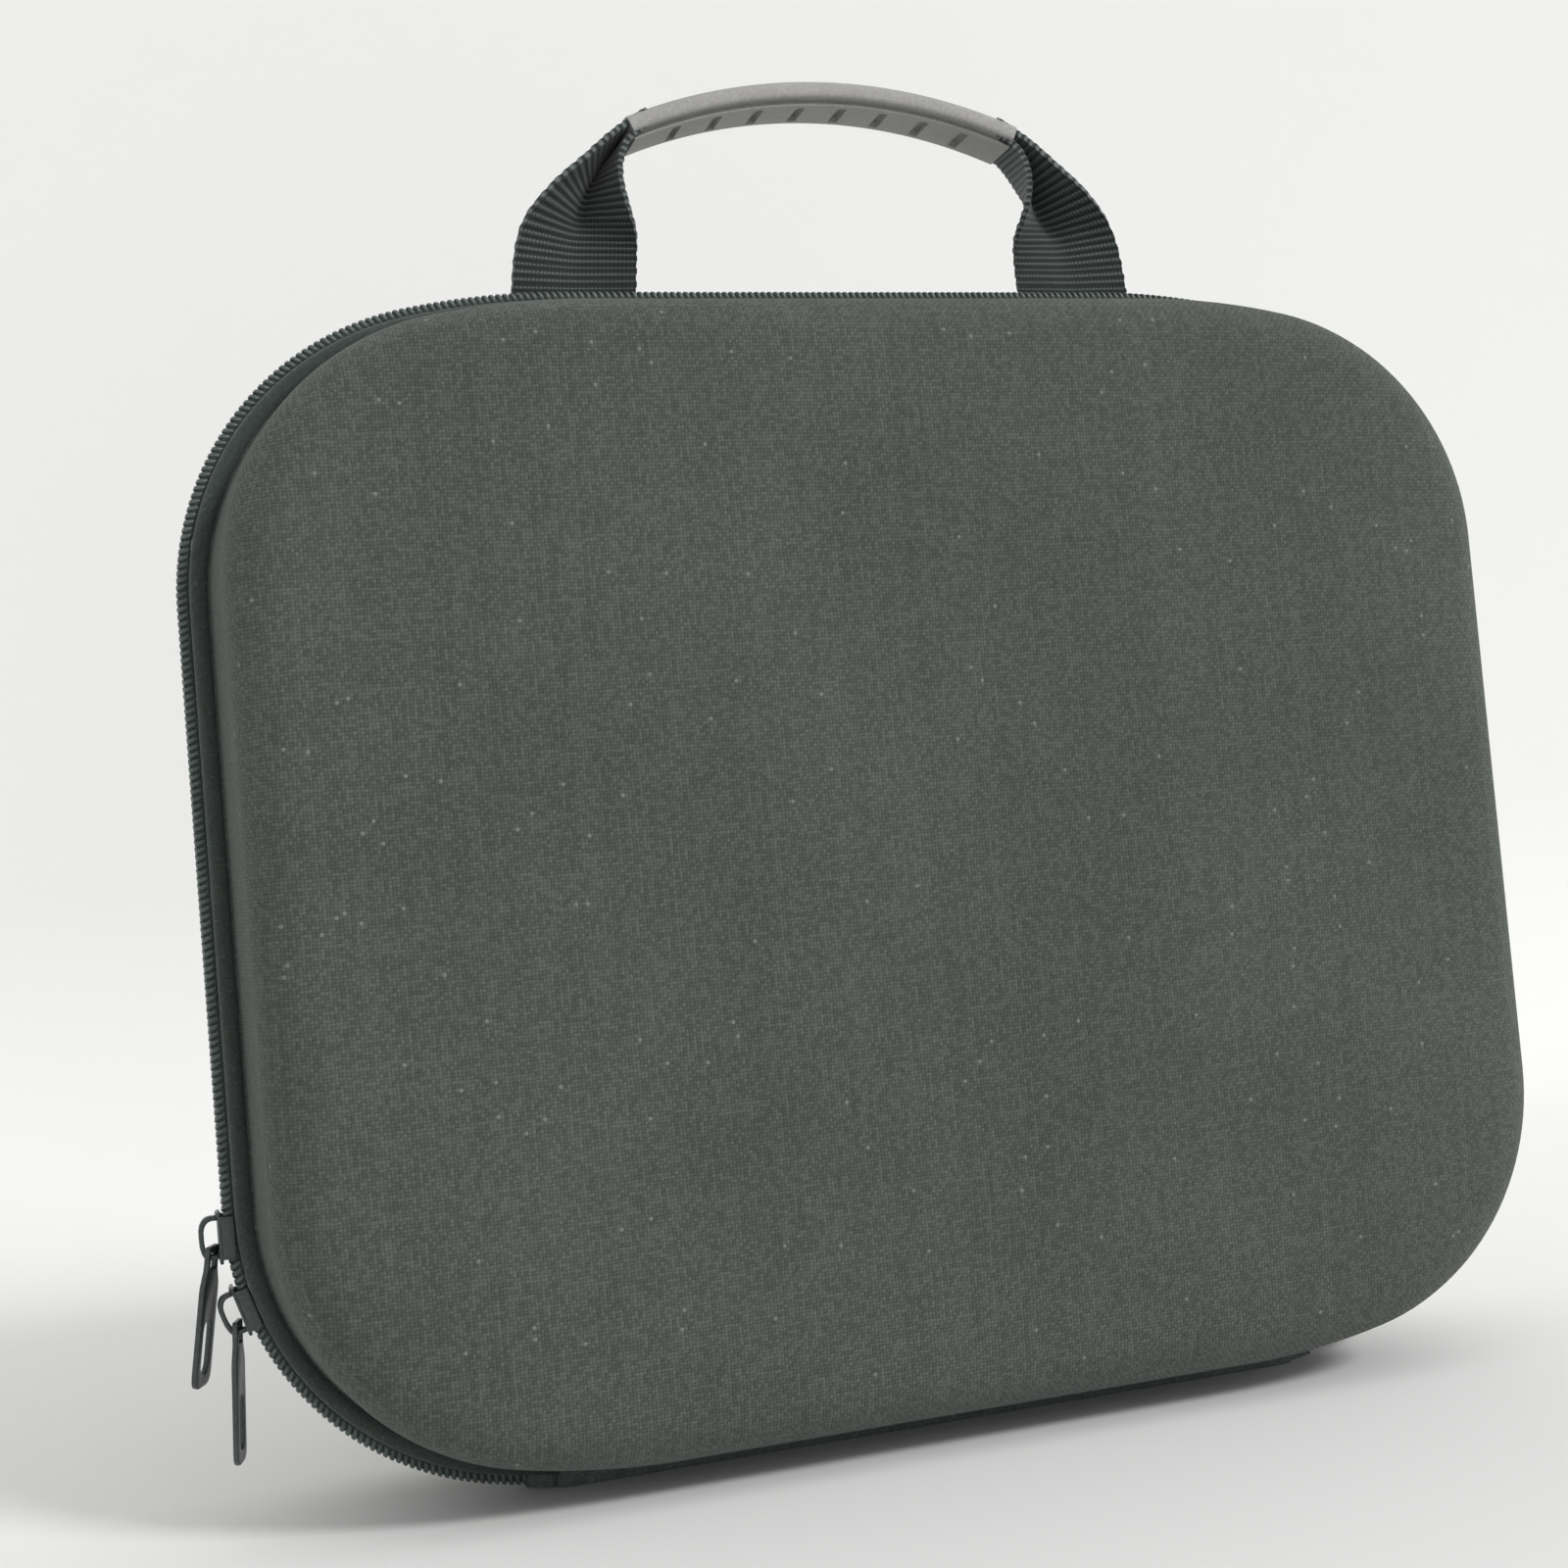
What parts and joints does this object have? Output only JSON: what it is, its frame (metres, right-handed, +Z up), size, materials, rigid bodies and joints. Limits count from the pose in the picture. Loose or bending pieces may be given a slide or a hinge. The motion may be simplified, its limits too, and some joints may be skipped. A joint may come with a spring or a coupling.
{
  "type": "table tennis paddle case",
  "caption": "Hard zipped case that opens on a fabric hinge, with a webbing carrying handle, a foam insert for a paddle and balls, and a net pocket in the lid.",
  "frame": {"origin": "middle of the underside of the fabric hinge strip, which the closed case stands on", "axes": "+X along the width, to the right seen from the front; -Y out of the lid, +Y out of the rear half; +Z up, from the hinge to the handle"},
  "size_m": [0.3081, 0.07, 0.3027],
  "materials": {
    "shell_foam": "matte",
    "insert_foam": "matte",
    "cover_fabric": "matte",
    "welt_fabric": "matte",
    "lining_fabric": "matte",
    "band_elastic": "matte",
    "zip_tape": "matte",
    "zip_coil": "satin",
    "net": "matte",
    "webbing": "matte",
    "grip_rubber": "matte",
    "slider_metal": "satin"
  },
  "bodies": {
    "rear": {"rear_shell": "shell_foam", "rear_cover": "cover_fabric", "rear_welt": "welt_fabric", "rear_lining": "lining_fabric", "zip_tape_rear": "zip_tape", "zip_coil_rear": "zip_coil", "zip_end_tabs_rear": "zip_tape", "hinge_tape_rear": "welt_fabric", "strap_root_left": "webbing", "strap_root_right": "webbing", "foam_insert": "insert_foam", "elastic_band": "band_elastic", "band_patches": "band_elastic"},
    "lid": {"front_shell": "shell_foam", "front_cover": "cover_fabric", "front_welt": "welt_fabric", "front_lining": "lining_fabric", "zip_tape_front": "zip_tape", "zip_coil_front": "zip_coil", "zip_end_tabs_front": "zip_tape", "hinge_tape_front": "welt_fabric", "net_pocket": "net", "net_binding": "band_elastic"},
    "upper_slider": {"slider_upper": "slider_metal"},
    "upper_tab": {"pull_tab_upper": "slider_metal"},
    "lower_slider": {"slider_lower": "slider_metal"},
    "lower_tab": {"pull_tab_lower": "slider_metal"},
    "handle": {"handle_webbing": "webbing", "handle_grip": "grip_rubber"}
  },
  "joints": [
    {"name": "lid_hinge", "type": "hinge", "parent": "rear", "child": "lid", "pos_m": [0, 0, 0], "axis": [1, 0, 0], "range_deg": [0, 180]},
    {"name": "upper_slider_slide", "type": "slide", "parent": "rear", "child": "upper_slider", "axis": [0, 0, 1], "range_m": [0, 0.115]},
    {"name": "lower_slider_turn", "type": "hinge", "parent": "rear", "child": "lower_slider", "pos_m": [-0.0865, 0, 0.06463], "axis": [0, -1, 0], "range_deg": [0, 24]},
    {"name": "upper_tab_swing", "type": "hinge", "parent": "upper_slider", "child": "upper_tab", "pos_m": [-0.1523, 0, 0.058], "axis": [0, 1, 0], "range_deg": [-3, 110]},
    {"name": "lower_tab_swing", "type": "hinge", "parent": "lower_slider", "child": "lower_tab", "pos_m": [-0.14847, 0, 0.0424], "axis": [0, 1, 0], "range_deg": [-20, 14]},
    {"name": "handle_fold", "type": "hinge", "parent": "rear", "child": "handle", "pos_m": [0, 0.00365, 0.2553], "axis": [1, 0, 0], "range_deg": [-82, 82]}
  ]
}
